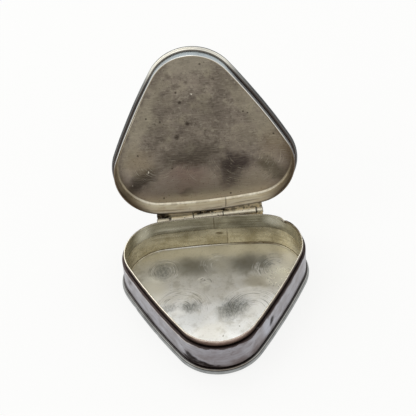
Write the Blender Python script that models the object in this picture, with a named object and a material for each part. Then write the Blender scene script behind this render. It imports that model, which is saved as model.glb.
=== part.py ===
"""Silver pill box with a rounded-triangle plan and a five-knuckle hinge behind its straight side.

Frame: +Z up, +Y to the back where the hinge is, -Y to the front corner. The origin is on the
table under the middle of the base. The lid stands open, resting on the hinge's stop.
"""

from math import asin, cos, pi, radians, sin, sqrt

import bmesh
import bpy
from mathutils import Matrix, Vector

MM = 0.001

# Plan outline of the wall's outer face: three long arcs joined by three corner arcs.
SIDE_RADIUS = 152.3 * MM
CORNER_RADIUS = 10.62 * MM
SIDE_HALF_ANGLE = radians(4.54)
SIDE_STEPS = 6
CORNER_STEPS = 20

# Base, heights above the table.
PLATE_THICKNESS = 0.45 * MM
BASE_WALL_TOP = 8.83 * MM
BASE_WALL_THICKNESS = 0.50 * MM
BEZEL_BOTTOM = 6.26 * MM
BEZEL_TOP = 10.45 * MM
BEZEL_OUTER = -0.55 * MM
BEZEL_INNER = -0.87 * MM

# Lid, heights when it is shut.
LID_RIM = 8.89 * MM
LID_TOP = 13.48 * MM
LID_WALL_THICKNESS = 0.35 * MM
LID_COVE_RADIUS = 0.55 * MM

# Reeded wire round the foot and round the lid's top edge.
MOULDING_HEIGHT = 2.02 * MM
LARGE_REED = (0.08 * MM, 0.82 * MM, 0.60 * MM)
SMALL_REED = (0.16 * MM, 1.70 * MM, 0.29 * MM)

# Hinge: its axis lies behind the wall at the height of the seam, a little out of square.
HINGE_STANDOFF = 1.40 * MM
HINGE_HEIGHT = 8.75 * MM
HINGE_SKEW = radians(1.07)
HINGE_TILT = radians(2.75)
OPEN_ANGLE = radians(105.7)
KNUCKLE_ENDS = (-13.24 * MM, -10.02 * MM, -4.31 * MM, 2.93 * MM, 11.07 * MM, 12.65 * MM)
KNUCKLE_GAP = 0.06 * MM
KNUCKLE_RADIUS = 0.72 * MM
BORE_RADIUS = 0.38 * MM
PIN_RADIUS = 0.33 * MM
KNUCKLE_SIDES = 24

# Bearers: soldered strips that cup the knuckles and carry the hinge clear of the walls.
SEAT_RADIUS = 0.77 * MM
NOTCH_RADIUS = 1.17 * MM
SLEEVE_RADIUS = 1.10 * MM
BEARER_REACH = radians(126.0)
BEARER_DEPTH = 1.15 * MM
SEAM_FACE = 0.03 * MM

JOINT_GAP = 0.03 * MM


def clear_scene():
    for obj in list(bpy.data.objects):
        bpy.data.objects.remove(obj, do_unlink=True)


def make_material(name, colour, roughness):
    material = bpy.data.materials.new(name)
    material.use_nodes = True
    shader = material.node_tree.nodes["Principled BSDF"]
    shader.inputs["Base Color"].default_value = (*colour, 1.0)
    shader.inputs["Metallic"].default_value = 1.0
    shader.inputs["Roughness"].default_value = roughness
    return material


def outline_frame():
    """Points and outward normals of the wall's outer face, clockwise from the back's middle."""
    half = SIDE_HALF_ANGLE
    arcs = []
    for turn in range(3):
        middle = turn * 2 * pi / 3
        arcs.append((SIDE_RADIUS, middle - half, middle + half, SIDE_STEPS))
        arcs.append((CORNER_RADIUS, middle + half, middle + 2 * pi / 3 - half, CORNER_STEPS))
    x = y = 0.0
    stations = []
    for radius, start, end, steps in arcs:
        for step in range(steps):
            angle = start + (end - start) * step / steps
            stations.append((x + radius * (sin(angle) - sin(start)),
                             y + radius * (cos(angle) - cos(start)), angle))
        x += radius * (sin(end) - sin(start))
        y += radius * (cos(end) - cos(start))
    # The loop starts at the left end of the back's arc, so it is centred afterwards.
    shift_x = SIDE_RADIUS * sin(half)
    back = SIDE_RADIUS * (1 - cos(half))
    front = min(py for _, py, _ in stations)
    middle_y = (back + front) / 2
    return [(Vector((px - shift_x, py - middle_y)), Vector((sin(a), cos(a)))) for px, py, a in stations]


OUTLINE = outline_frame()
BACK_Y = max(point.y for point, _ in OUTLINE)


def outline_point(index, offset, height):
    point, normal = OUTLINE[index]
    return Vector((point.x + normal.x * offset, point.y + normal.y * offset, height))


def start_loop(bm, offset, height):
    """A closed edge loop round the plan, each vertex keeping its station number."""
    tag = bm.verts.layers.int.new("station")
    verts = []
    for index in range(len(OUTLINE)):
        vert = bm.verts.new(outline_point(index, offset, height))
        vert[tag] = index
        verts.append(vert)
    edges = [bm.edges.new((verts[i - 1], verts[i])) for i in range(len(verts))]
    return tag, verts, edges


def extrude_loop(bm, tag, edges, offset, height):
    """Extrude an open edge loop to a new offset and height."""
    result = bmesh.ops.extrude_edge_only(bm, edges=edges)["geom"]
    for item in result:
        if isinstance(item, bmesh.types.BMVert):
            item.co = outline_point(item[tag], offset, height)
    new_verts = {item for item in result if isinstance(item, bmesh.types.BMVert)}
    return [item for item in result if isinstance(item, bmesh.types.BMEdge)
            and item.verts[0] in new_verts and item.verts[1] in new_verts]


def sweep_ring(profile):
    """A closed cross-section of (offset, height) points swept all round the plan."""
    bm = bmesh.new()
    tag, _, edges = start_loop(bm, *profile[0])
    for offset, height in list(profile[1:]) + [profile[0]]:
        edges = extrude_loop(bm, tag, edges, offset, height)
    bmesh.ops.remove_doubles(bm, verts=bm.verts, dist=1e-7)
    bmesh.ops.recalc_face_normals(bm, faces=bm.faces)
    return bm


def sweep_plate(profile):
    """A flat plate whose edge follows a profile of (offset, height) points."""
    bm = bmesh.new()
    tag, verts, edges = start_loop(bm, *profile[0])
    bm.faces.new(verts)
    for offset, height in profile[1:]:
        edges = extrude_loop(bm, tag, edges, offset, height)
    bmesh.ops.edgeloop_fill(bm, edges=edges)
    bmesh.ops.recalc_face_normals(bm, faces=bm.faces)
    return bm


def finish(name, bm, material, origin=Vector(), smooth_angle=35.0):
    mesh = bpy.data.meshes.new(name)
    bm.to_mesh(mesh)
    bm.free()
    mesh.materials.append(material)
    mesh.shade_smooth()
    mesh.set_sharp_from_angle(angle=radians(smooth_angle))
    obj = bpy.data.objects.new(name, mesh)
    obj.location = origin
    bpy.context.collection.objects.link(obj)
    return obj


def rounded_wall(outer, inner, bottom, top, edge):
    """Cross-section of an upright strip with eased edges."""
    return [(outer, bottom + edge), (outer, top - edge), (outer - edge, top), (inner + edge, top),
            (inner, top - edge), (inner, bottom + edge), (inner + edge, bottom), (outer - edge, bottom)]


def moulding_profile():
    """Reeded wire, heights from its table side: a large reed below a small one."""
    profile = [(JOINT_GAP, 0.10 * MM)]
    centre, height, radius = LARGE_REED
    for degrees in range(-75, 51, 25):
        angle = radians(degrees)
        profile.append((centre + radius * cos(angle), height + radius * sin(angle)))
    profile.append((0.37 * MM, 1.40 * MM))
    centre, height, radius = SMALL_REED
    for degrees in (-45, -8, 30, 70):
        angle = radians(degrees)
        profile.append((centre + radius * cos(angle), height + radius * sin(angle)))
    profile.append((JOINT_GAP, MOULDING_HEIGHT))
    return profile


def plate_edge(bottom, top):
    ease = 0.10 * MM
    return [(-ease, bottom), (0.0, bottom + ease), (0.0, top - ease), (-ease, top)]


def make_base():
    floor = make_material("base_floor_silver", (0.66, 0.65, 0.60), 0.34)
    wall = make_material("base_wall_silver", (0.60, 0.58, 0.58), 0.38)
    bezel = make_material("bezel_tarnished_silver", (0.42, 0.40, 0.34), 0.42)
    wire = make_material("base_wire_silver", (0.50, 0.50, 0.48), 0.32)

    finish("base_plate", sweep_plate(plate_edge(0.0, PLATE_THICKNESS)), floor)

    bottom = PLATE_THICKNESS + JOINT_GAP
    inner = -BASE_WALL_THICKNESS
    fillet = 0.15 * MM
    profile = [(0.0, bottom), (0.0, BASE_WALL_TOP - 0.06 * MM), (-0.06 * MM, BASE_WALL_TOP),
               (inner, BASE_WALL_TOP), (inner, bottom + fillet), (inner - fillet, bottom)]
    finish("base_wall", sweep_ring(profile), wall)

    profile = rounded_wall(BEZEL_OUTER, BEZEL_INNER, BEZEL_BOTTOM, BEZEL_TOP, 0.08 * MM)
    finish("base_bezel", sweep_ring(profile), bezel)

    finish("base_moulding", sweep_ring(moulding_profile()), wire)


def make_lid(pivot, axis_point):
    plate = make_material("lid_plate_tarnished_silver", (0.36, 0.33, 0.28), 0.48)
    wall = make_material("lid_wall_silver", (0.55, 0.53, 0.47), 0.38)
    wire = make_material("lid_wire_silver", (0.55, 0.55, 0.52), 0.30)

    underside = LID_TOP - PLATE_THICKNESS
    top = underside - JOINT_GAP
    inner = -LID_WALL_THICKNESS
    cove = LID_COVE_RADIUS
    profile = [(0.0, top), (0.0, LID_RIM + 0.06 * MM), (-0.06 * MM, LID_RIM), (inner + 0.06 * MM, LID_RIM),
               (inner, LID_RIM + 0.06 * MM)]
    for degrees in (0, 30, 60):
        angle = radians(degrees)
        profile.append((inner - cove * (1 - cos(angle)), top - cove * (1 - sin(angle))))
    profile.append((inner - cove, top))

    pieces = [
        ("lid_plate", sweep_plate(plate_edge(underside, LID_TOP)), plate),
        ("lid_wall", sweep_ring(profile), wall),
        ("lid_moulding", sweep_ring([(d, LID_TOP - h) for d, h in moulding_profile()]), wire),
    ]
    for name, bm, material in pieces:
        bmesh.ops.translate(bm, verts=bm.verts, vec=-axis_point)
        finish(name, bm, material).parent = pivot


def hinge_axes():
    """Unit vectors along the hinge, to the back and up, as the hinge sits on the box."""
    along = Vector((cos(HINGE_SKEW) * cos(HINGE_TILT), sin(HINGE_SKEW) * cos(HINGE_TILT), sin(HINGE_TILT)))
    back = Vector((0.0, 0.0, 1.0)).cross(along).normalized()
    return along, back, along.cross(back)


def hinge_matrix():
    along, back, up = hinge_axes()
    return Matrix((along, back, up)).transposed()


def axis_centre():
    return Vector((0.0, BACK_Y + HINGE_STANDOFF, HINGE_HEIGHT))


def tube(start, end):
    """A knuckle: a tube along the hinge with eased ends, spun from its cross-section."""
    ease = 0.08 * MM
    section = [(start, BORE_RADIUS), (start, KNUCKLE_RADIUS - ease), (start + ease, KNUCKLE_RADIUS),
               (end - ease, KNUCKLE_RADIUS), (end, KNUCKLE_RADIUS - ease), (end, BORE_RADIUS)]
    bm = bmesh.new()
    verts = [bm.verts.new((s, r, 0.0)) for s, r in section]
    edges = [bm.edges.new((verts[i - 1], verts[i])) for i in range(len(verts))]
    bmesh.ops.spin(bm, geom=verts + edges, cent=(0, 0, 0), axis=(1, 0, 0), dvec=(0, 0, 0),
                   angle=2 * pi, steps=KNUCKLE_SIDES, use_merge=True, use_duplicate=False)
    bmesh.ops.remove_doubles(bm, verts=bm.verts, dist=1e-7)
    bmesh.ops.recalc_face_normals(bm, faces=bm.faces)
    return bm


def pin(start, end):
    bm = bmesh.new()
    bmesh.ops.create_cone(bm, cap_ends=True, segments=16, radius1=PIN_RADIUS, radius2=PIN_RADIUS,
                          depth=end - start)
    bmesh.ops.rotate(bm, verts=bm.verts, matrix=Matrix.Rotation(pi / 2, 3, "Y"))
    bmesh.ops.translate(bm, verts=bm.verts, vec=((start + end) / 2, 0, 0))
    bmesh.ops.recalc_face_normals(bm, faces=bm.faces)
    return bm


def wall_distance(along, height):
    """Hinge-frame depth of a point just off the back wall, at a place along the hinge."""
    axis, back, up = hinge_axes()
    centre = axis_centre()
    arc_centre = BACK_Y - SIDE_RADIUS
    depth = -HINGE_STANDOFF
    for _ in range(4):
        point = centre + axis * along + back * depth + up * height
        wall = arc_centre + sqrt(SIDE_RADIUS ** 2 - point.x ** 2) + 2 * JOINT_GAP
        depth += (wall - point.y) / back.y
    return depth


def bearer_section(along, side, notched):
    """Cross-section of a bearer in the hinge frame. side is -1 for the base's and +1 for the lid's."""
    section = [(wall_distance(along, side * SEAM_FACE), side * SEAM_FACE),
               (wall_distance(along, side * BEARER_DEPTH), side * BEARER_DEPTH)]
    reach = pi - BEARER_REACH
    for step in range(6):
        angle = pi - radians(72.0) + (reach - (pi - radians(72.0))) * step / 5
        section.append((SLEEVE_RADIUS * cos(angle), side * SLEEVE_RADIUS * sin(angle)))
    inner_start = asin(SEAM_FACE / SEAT_RADIUS)
    lip = pi - radians(48.0)
    for step in range(5):
        angle = reach + (lip - reach) * step / 4
        section.append((SEAT_RADIUS * cos(angle), side * SEAT_RADIUS * sin(angle)))
    radius = NOTCH_RADIUS if notched else SEAT_RADIUS
    lip_notched = lip + radians(4.0)
    for step in range(4):
        end = pi - asin(SEAM_FACE / radius)
        angle = lip_notched + (end - lip_notched) * step / 3
        section.append((radius * cos(angle), side * radius * sin(angle)))
    return section


def bearer(side, own):
    """Loft a bearer along the hinge, cut back wherever the other leaf's knuckles turn."""
    stations = []
    ends = list(KNUCKLE_ENDS)
    step_width = 0.02 * MM
    for index in range(5):
        notched = index not in own
        start = ends[index] + (0.12 * MM if index == 0 else step_width)
        end = ends[index + 1] - (0.12 * MM if index == 4 else step_width)
        count = max(1, round((end - start) / (3.0 * MM)))
        stations += [(start + (end - start) * i / count, notched) for i in range(count + 1)]
    bm = bmesh.new()
    tag = bm.verts.layers.int.new("corner")
    verts = []
    along, notched = stations[0]
    for index, (depth, height) in enumerate(bearer_section(along, side, notched)):
        vert = bm.verts.new((along, depth, height))
        vert[tag] = index
        verts.append(vert)
    edges = [bm.edges.new((verts[i - 1], verts[i])) for i in range(len(verts))]
    bm.faces.new(verts)
    for along, notched in stations[1:]:
        section = bearer_section(along, side, notched)
        result = bmesh.ops.extrude_edge_only(bm, edges=edges)["geom"]
        new_verts = {item for item in result if isinstance(item, bmesh.types.BMVert)}
        for vert in new_verts:
            depth, height = section[vert[tag]]
            vert.co = (along, depth, height)
        edges = [item for item in result if isinstance(item, bmesh.types.BMEdge)
                 and item.verts[0] in new_verts and item.verts[1] in new_verts]
    bmesh.ops.edgeloop_fill(bm, edges=edges)
    bmesh.ops.recalc_face_normals(bm, faces=bm.faces)
    return bm


def make_hinge(pivot, axis_point):
    base_bearer = make_material("base_bearer_silver", (0.45, 0.42, 0.36), 0.42)
    lid_bearer = make_material("lid_bearer_silver", (0.45, 0.42, 0.36), 0.42)
    base_knuckle = make_material("base_knuckle_silver", (0.72, 0.69, 0.62), 0.28)
    lid_knuckle = make_material("lid_knuckle_silver", (0.74, 0.71, 0.64), 0.28)
    wire = make_material("pin_silver", (0.50, 0.48, 0.44), 0.35)
    turn = hinge_matrix()

    def place(name, bm, material, on_lid):
        bmesh.ops.rotate(bm, verts=bm.verts, matrix=turn)
        obj = finish(name, bm, material, Vector() if on_lid else axis_point)
        if on_lid:
            obj.parent = pivot

    names = ("base_knuckle_left", "lid_knuckle_left", "base_knuckle_centre",
             "lid_knuckle_right", "base_knuckle_right")
    for index, name in enumerate(names):
        start = KNUCKLE_ENDS[index] + (KNUCKLE_GAP / 2 if index > 0 else 0.0)
        end = KNUCKLE_ENDS[index + 1] - (KNUCKLE_GAP / 2 if index < 4 else 0.0)
        on_lid = name.startswith("lid")
        place(name, tube(start, end), lid_knuckle if on_lid else base_knuckle, on_lid)
    place("hinge_pin", pin(KNUCKLE_ENDS[0] + 0.10 * MM, KNUCKLE_ENDS[5] - 0.10 * MM), wire, False)
    place("base_hinge_bearer", bearer(-1, (0, 2, 4)), base_bearer, False)
    place("lid_hinge_bearer", bearer(1, (1, 3)), lid_bearer, True)


def main():
    clear_scene()
    axis_point = axis_centre()
    pivot = bpy.data.objects.new("lid_pivot", None)
    pivot.location = axis_point
    pivot.rotation_mode = "AXIS_ANGLE"
    pivot.rotation_axis_angle = (-OPEN_ANGLE, *hinge_axes()[0])
    pivot.empty_display_size = 5 * MM
    bpy.context.collection.objects.link(pivot)

    make_base()
    make_lid(pivot, axis_point)
    make_hinge(pivot, axis_point)


main()
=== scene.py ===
"""Looks of the silver pill box: finer pieces round the CAD frame, old silver finishes, a floor,
light and a camera.

Positions are in millimetres in the box's frame. Lid pieces are modelled shut, in that same frame,
and then swung open about the hinge, so a mark on the lid is placed where it lies when shut.
"""

from math import cos, exp, pi, radians, sin

import bpy
from mathutils import Matrix, Vector, noise


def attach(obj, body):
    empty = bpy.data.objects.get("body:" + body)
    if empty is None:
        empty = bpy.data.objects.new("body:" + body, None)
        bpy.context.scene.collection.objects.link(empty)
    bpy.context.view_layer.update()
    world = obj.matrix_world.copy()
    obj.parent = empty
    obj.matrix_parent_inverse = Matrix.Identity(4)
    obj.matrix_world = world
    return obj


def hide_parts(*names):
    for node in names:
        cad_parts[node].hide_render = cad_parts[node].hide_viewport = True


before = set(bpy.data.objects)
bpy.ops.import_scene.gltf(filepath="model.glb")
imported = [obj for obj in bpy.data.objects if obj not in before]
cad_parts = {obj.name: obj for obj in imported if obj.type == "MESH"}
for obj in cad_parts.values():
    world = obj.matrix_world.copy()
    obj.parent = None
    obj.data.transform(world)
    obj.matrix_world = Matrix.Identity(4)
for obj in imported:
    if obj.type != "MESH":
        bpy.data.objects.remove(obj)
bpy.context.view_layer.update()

MM = 0.001

# Plan outline of the walls, the same as the CAD part's.
SIDE_RADIUS = 152.3
CORNER_RADIUS = 10.62
SIDE_HALF_ANGLE = radians(4.54)
SIDE_STEPS = 44
CORNER_STEPS = 56

# Heights and offsets of the strips.
FLOOR_TOP = 0.45
BASE_WALL_TOP = 8.83
BASE_WALL_INNER = -0.50
BEZEL_BOTTOM, BEZEL_TOP = 6.26, 10.45
BEZEL_OUTER, BEZEL_INNER = -0.55, -0.87
LID_RIM, LID_TOP = 8.89, 13.48
LID_INNER = -0.35
LID_COVE = 0.55
SHEET = 0.45
JOINT_GAP = 0.03
WALL_FOOT = FLOOR_TOP + JOINT_GAP
SOLDER_FILLET = 0.34

# Reeded wire: how far each reed's centre stands out from the wall, its height and its radius.
LARGE_REED = (0.08, 0.82, 0.60)
SMALL_REED = (0.16, 1.70, 0.29)
GROOVE = (0.385, 1.395)
WIRE_FOOT, WIRE_TOP = 0.10, 2.02

# Hinge.
AXIS_HEIGHT = 8.75
AXIS_STANDOFF = 1.40
HINGE_SKEW = radians(1.07)
HINGE_TILT = radians(2.75)
OPEN_ANGLE = radians(105.7)
KNUCKLE_ENDS = (-13.24, -10.02, -4.31, 2.93, 11.07, 12.65)
KNUCKLE_RADIUS = 0.72
KNUCKLE_HALF_GAP = 0.03
KNUCKLE_EASE = 0.11
KNUCKLE_TURNS = 48
BORE_RADIUS = 0.38

# How finely the sheets are meshed, how much their edges are eased, how uneven the handwork is, and
# how far apart the floor's polishing rings are.
SHEET_RINGS = 46
SHEET_EASE = 0.10
SHEET_WAVE, SHEET_WAVE_REACH = 0.05, 7.0
STRIP_WOBBLE = 0.035
SHARP_ANGLE = radians(42.0)
RING_PITCH = 0.50

# Camera, fitted to the outlines of the box: where it looks from, and what it looks at.
CAMERA_ELEVATION, CAMERA_HEADING, CAMERA_ROLL = radians(44.46), radians(0.91), radians(4.94)
CAMERA_LENS, CAMERA_DISTANCE = 138.46, 376.16
TARGET_HEIGHT, TARGET_ACROSS, TARGET_UPWARD = 4.702, -2.029, 20.06


# ---------------------------------------------------------------- outline and hinge frame

def outline_frame():
    """Points and outward normals of the wall's outer face, clockwise from the back's left end."""
    half = SIDE_HALF_ANGLE
    x = y = 0.0
    stations = []
    for turn in range(3):
        middle = turn * 2 * pi / 3
        arcs = ((SIDE_RADIUS, middle - half, middle + half, SIDE_STEPS),
                (CORNER_RADIUS, middle + half, middle + 2 * pi / 3 - half, CORNER_STEPS))
        for radius, start, end, steps in arcs:
            for step in range(steps):
                angle = start + (end - start) * step / steps
                stations.append((x + radius * (sin(angle) - sin(start)),
                                 y + radius * (cos(angle) - cos(start)), angle))
            x += radius * (sin(end) - sin(start))
            y += radius * (cos(end) - cos(start))
    shift_x = SIDE_RADIUS * sin(half)
    shift_y = (SIDE_RADIUS * (1 - cos(half)) + min(py for _, py, _ in stations)) / 2
    return [(Vector((px - shift_x, py - shift_y)), Vector((sin(a), cos(a)))) for px, py, a in stations]


OUTLINE = outline_frame()
BACK_Y = max(point.y for point, _ in OUTLINE)
AXIS_POINT = Vector((0.0, BACK_Y + AXIS_STANDOFF, AXIS_HEIGHT))
ALONG = Vector((cos(HINGE_SKEW) * cos(HINGE_TILT), sin(HINGE_SKEW) * cos(HINGE_TILT), sin(HINGE_TILT)))
BACK = Vector((0.0, 0.0, 1.0)).cross(ALONG).normalized()
UP = ALONG.cross(BACK)


def lid_swing():
    """Takes a point of the shut lid, in metres, to where it is with the lid open."""
    centre = Matrix.Translation(AXIS_POINT * MM)
    return centre @ Matrix.Rotation(-OPEN_ANGLE, 4, ALONG) @ centre.inverted()


def hinge_point(along, back, up):
    return AXIS_POINT + ALONG * along + BACK * back + UP * up


# ---------------------------------------------------------------- mesh building

def uneven(point, reach, amount, seed=0.0):
    """A smooth hand-made unevenness, in millimetres."""
    return amount * noise.noise(Vector((point[0], point[1], point[2] + seed)) / reach)


def add_piece(name, body, verts, faces, materials, slots, replaces, dents=()):
    """Make one visible piece from points in millimetres. Each dent has a centre, a radius and a push."""
    points = [Vector(v) for v in verts]
    for centre, radius, push in dents:
        centre, push = Vector(centre), Vector(push)
        for point in points:
            distance = (point - centre).length / radius
            if distance < 2.5:
                point += push * exp(-distance * distance)
    mesh = bpy.data.meshes.new(name)
    mesh.from_pydata([point * MM for point in points], [], faces)
    for material in materials:
        mesh.materials.append(material)
    for polygon, index in zip(mesh.polygons, slots):
        polygon.material_index = index
    mesh.shade_smooth()
    mesh.set_sharp_from_angle(angle=SHARP_ANGLE)
    mesh.update()
    obj = bpy.data.objects.new(name, mesh)
    bpy.context.scene.collection.objects.link(obj)
    if body == "lid":
        obj.matrix_world = lid_swing()
    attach(obj, body)
    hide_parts(*replaces)


def swept_ring(name, body, profile, materials, replaces, seed=0.0, dents=()):
    """Sweep a closed cross-section round the plan. Each profile point is (offset, height, finish):
    the finish index paints the strip from that point to the next."""
    count, across = len(OUTLINE), len(profile)
    verts, faces, slots = [], [], []
    for point, normal in OUTLINE:
        sway = uneven((point.x, point.y, 0.0), 8.0, STRIP_WOBBLE, seed)
        lift = uneven((point.x, point.y, 40.0), 6.0, STRIP_WOBBLE, seed) * 0.5
        for offset, height, _ in profile:
            ripple = uneven((point.x, point.y, height), 2.2, STRIP_WOBBLE * 0.35, seed)
            place = point + normal * (offset + sway + ripple)
            follow = 1.0 if height == profile[0][1] else 0.6
            verts.append((place.x, place.y, height + lift * follow))
    for station in range(count):
        after = (station + 1) % count
        for step in range(across):
            ahead = (step + 1) % across
            faces.append((station * across + step, after * across + step,
                          after * across + ahead, station * across + ahead))
            slots.append(profile[step][2])
    # The section is given anticlockwise, outside first, so this winding faces outwards.
    add_piece(name, body, verts, [face[::-1] for face in faces], materials, slots,
              replaces, dents)


def sheet(name, body, low, high, materials, replaces, seed=0.0):
    """A flat sheet cut to the plan, with its two faces meshed so that they can be slightly uneven.
    Finish 0 is the upper face, finish 1 the lower face and edge."""
    count = len(OUTLINE)
    verts, faces, slots = [], [], []

    def wave(x, y, height):
        return uneven((x, y, height), SHEET_WAVE_REACH, SHEET_WAVE, seed)

    def face_rings(height, upward, finish):
        first = len(verts)
        for ring in range(SHEET_RINGS):
            share = 1 - ring / SHEET_RINGS
            for point, normal in OUTLINE:
                place = (point - normal * SHEET_EASE) * share
                lift = wave(place.x, place.y, height) * min(1.0, 6 * (1 - share))
                verts.append((place.x, place.y, height + lift))
        verts.append((0.0, 0.0, height + wave(0.0, 0.0, height)))
        for ring in range(SHEET_RINGS):
            for station in range(count):
                after = (station + 1) % count
                a, b = first + ring * count + station, first + ring * count + after
                if ring == SHEET_RINGS - 1:
                    face = (a, b, first + SHEET_RINGS * count)
                else:
                    face = (a, b, b + count, a + count)
                faces.append(face[::-1] if upward else face)
                slots.append(finish)
        return first

    top = face_rings(high, True, 0)
    bottom = face_rings(low, False, 1)
    side = []
    for height in (high - SHEET_EASE, low + SHEET_EASE):
        side.append(len(verts))
        for point, _ in OUTLINE:
            verts.append((point.x, point.y, height))
    loops = (top, side[0], side[1], bottom)
    for upper, lower in zip(loops, loops[1:]):
        for station in range(count):
            after = (station + 1) % count
            faces.append((upper + station, upper + after, lower + after, lower + station))
            slots.append(1)
    add_piece(name, body, verts, faces, materials, slots, replaces)


def knuckle(name, body, start, end, materials, replaces, seed):
    """A rolled tube on the hinge's axis with softened, slightly battered ends."""
    ease, shoulder = KNUCKLE_EASE, KNUCKLE_RADIUS - KNUCKLE_EASE
    lip = BORE_RADIUS + 0.05
    section = [(start + 0.02, BORE_RADIUS), (start, lip), (start, shoulder)]
    for degrees in (30, 60, 90):
        angle = radians(degrees)
        section.append((start + ease * (1 - cos(angle)), KNUCKLE_RADIUS - ease * (1 - sin(angle))))
    spans = max(2, round((end - start) / 0.5))
    for step in range(1, spans):
        section.append((start + ease + (end - start - 2 * ease) * step / spans, KNUCKLE_RADIUS))
    for degrees in (90, 60, 30):
        angle = radians(degrees)
        section.append((end - ease * (1 - cos(angle)), KNUCKLE_RADIUS - ease * (1 - sin(angle))))
    section += [(end, shoulder), (end, lip), (end - 0.02, BORE_RADIUS)]
    across = len(section)
    verts, faces = [], []
    for turn in range(KNUCKLE_TURNS):
        angle = 2 * pi * turn / KNUCKLE_TURNS
        for along, radius in section:
            bump = 0.0
            if radius > KNUCKLE_RADIUS - 0.5 * ease:
                bump = uneven((along, 2 * cos(angle), 2 * sin(angle)), 0.8, 0.018, seed)
            verts.append(hinge_point(along, (radius + bump) * cos(angle), (radius + bump) * sin(angle)))
    for turn in range(KNUCKLE_TURNS):
        after = (turn + 1) % KNUCKLE_TURNS
        for step in range(across):
            ahead = (step + 1) % across
            faces.append((turn * across + step, turn * across + ahead,
                          after * across + ahead, after * across + step))
    add_piece(name, body, verts, faces, materials, [0] * len(faces), replaces)


def arc(centre, height, radius, start, end, steps):
    """Part of a round section, angles in degrees from straight outwards, rising."""
    points = []
    for step in range(steps + 1):
        angle = radians(start + (end - start) * step / steps)
        points.append((centre + radius * cos(angle), height + radius * sin(angle), 0))
    return points


def moulding_profile():
    """Reeded wire: a large reed and a small reed with a groove between, seen from its table side."""
    return [(JOINT_GAP, WIRE_FOOT, 0), *arc(*LARGE_REED, -78, 54, 22), (*GROOVE, 0),
            *arc(*SMALL_REED, -46, 78, 10), (JOINT_GAP, WIRE_TOP, 0)]


def steps_between(start, end, count):
    return [start + (end - start) * i / count for i in range(count + 1)]


# ---------------------------------------------------------------- finishes

def tone(red, green, blue):
    """A linear colour from eight-bit values."""
    def linear(value):
        value /= 255.0
        return value / 12.92 if value <= 0.04045 else ((value + 0.055) / 1.055) ** 2.4
    return (linear(red), linear(green), linear(blue), 1.0)


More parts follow.
